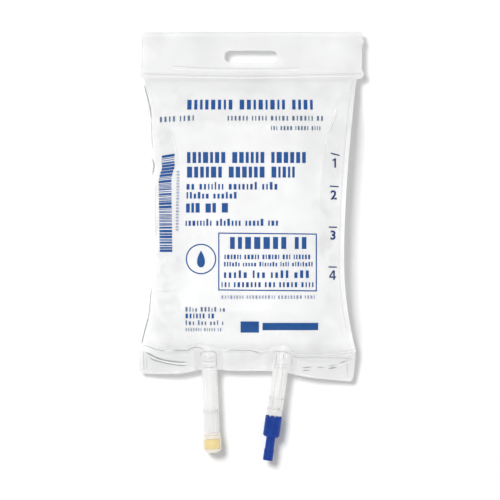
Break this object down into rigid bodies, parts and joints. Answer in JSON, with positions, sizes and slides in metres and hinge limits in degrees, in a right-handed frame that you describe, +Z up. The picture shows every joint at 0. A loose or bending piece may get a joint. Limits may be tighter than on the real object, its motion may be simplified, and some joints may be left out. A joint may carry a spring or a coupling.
{
  "type": "iv fluid bag",
  "caption": "Clear film fluid bag lying on its back, with hanger slot, rubber-plugged injection port and spike port under a pull-off cap.",
  "frame": {"origin": "middle of the flat patch on the underside, where the filled chamber rests", "axes": "+Z up from the ground through the bag's thickness, +Y along the bag from its ports to its hanger header, +X to the right seen from above with the header at the top"},
  "size_m": [0.1309, 0.2508, 0.0365],
  "materials": {
    "film": "clear flexible film, glossy, slightly milky",
    "fluid": "clear watery fluid",
    "tube": "clear soft tube, satin",
    "moulding": "clear moulding, glossy",
    "septum": "matt yellow rubber",
    "cap": "moulded blue, satin"
  },
  "bodies": {
    "bag": {"bag_film": "film", "fluid_fill": "fluid", "injection_port_tube": "tube", "injection_site_body": "moulding", "injection_septum": "septum", "spike_port_tube": "tube", "spike_membrane_tube": "moulding"},
    "cap": {"spike_cap": "cap"}
  },
  "joints": [
    {"name": "cap_pull", "type": "slide", "parent": "bag", "child": "cap", "axis": [-0.1392, -0.9903, 0], "range_m": [0, 0.03]}
  ]
}
